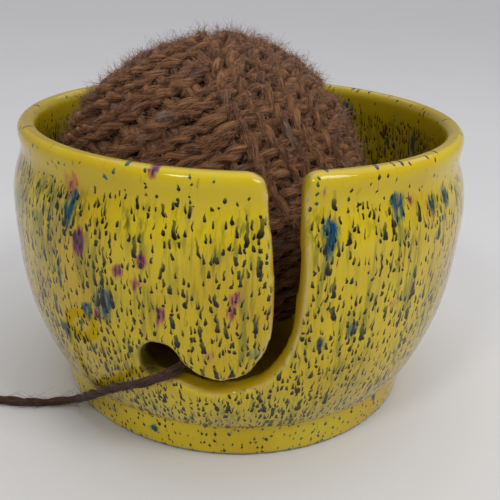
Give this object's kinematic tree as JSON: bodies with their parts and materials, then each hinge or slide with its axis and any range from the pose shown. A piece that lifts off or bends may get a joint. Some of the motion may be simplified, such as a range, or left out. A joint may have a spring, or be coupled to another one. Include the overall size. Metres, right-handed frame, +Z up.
{
  "type": "yarn bowl",
  "caption": "Round glazed ceramic yarn bowl with a rolled rim, a J-shaped yarn slot ending in an eye, and a ball of wool whose loose end runs out through the eye.",
  "frame": {"origin": "on the table at the centre of the foot ring", "axes": "+Z up along the bowl's axis, -Y towards the side with the yarn slot"},
  "size_m": [0.2084, 0.1657, 0.1271],
  "materials": {
    "glaze": "glossy speckled glaze",
    "yarn": "fuzzy two-ply wool",
    "inner_yarn": "packed wool"
  },
  "bodies": {
    "bowl": {"bowl": "glaze", "yarn_tail": "yarn", "yarn_coil": "yarn"},
    "ball": {"ball_core": "inner_yarn"},
    "winding": {"ball_winding": "yarn"}
  },
  "joints": [
    {"name": "ball_lift", "type": "slide", "parent": "bowl", "child": "ball", "axis": [0, 0, 1], "range_m": [0, 0.1]},
    {"name": "ball_spin", "type": "hinge", "parent": "ball", "child": "winding", "pos_m": [-0.01048, -0.003, 0.0701], "axis": [0, 0, 1], "continuous": true}
  ]
}
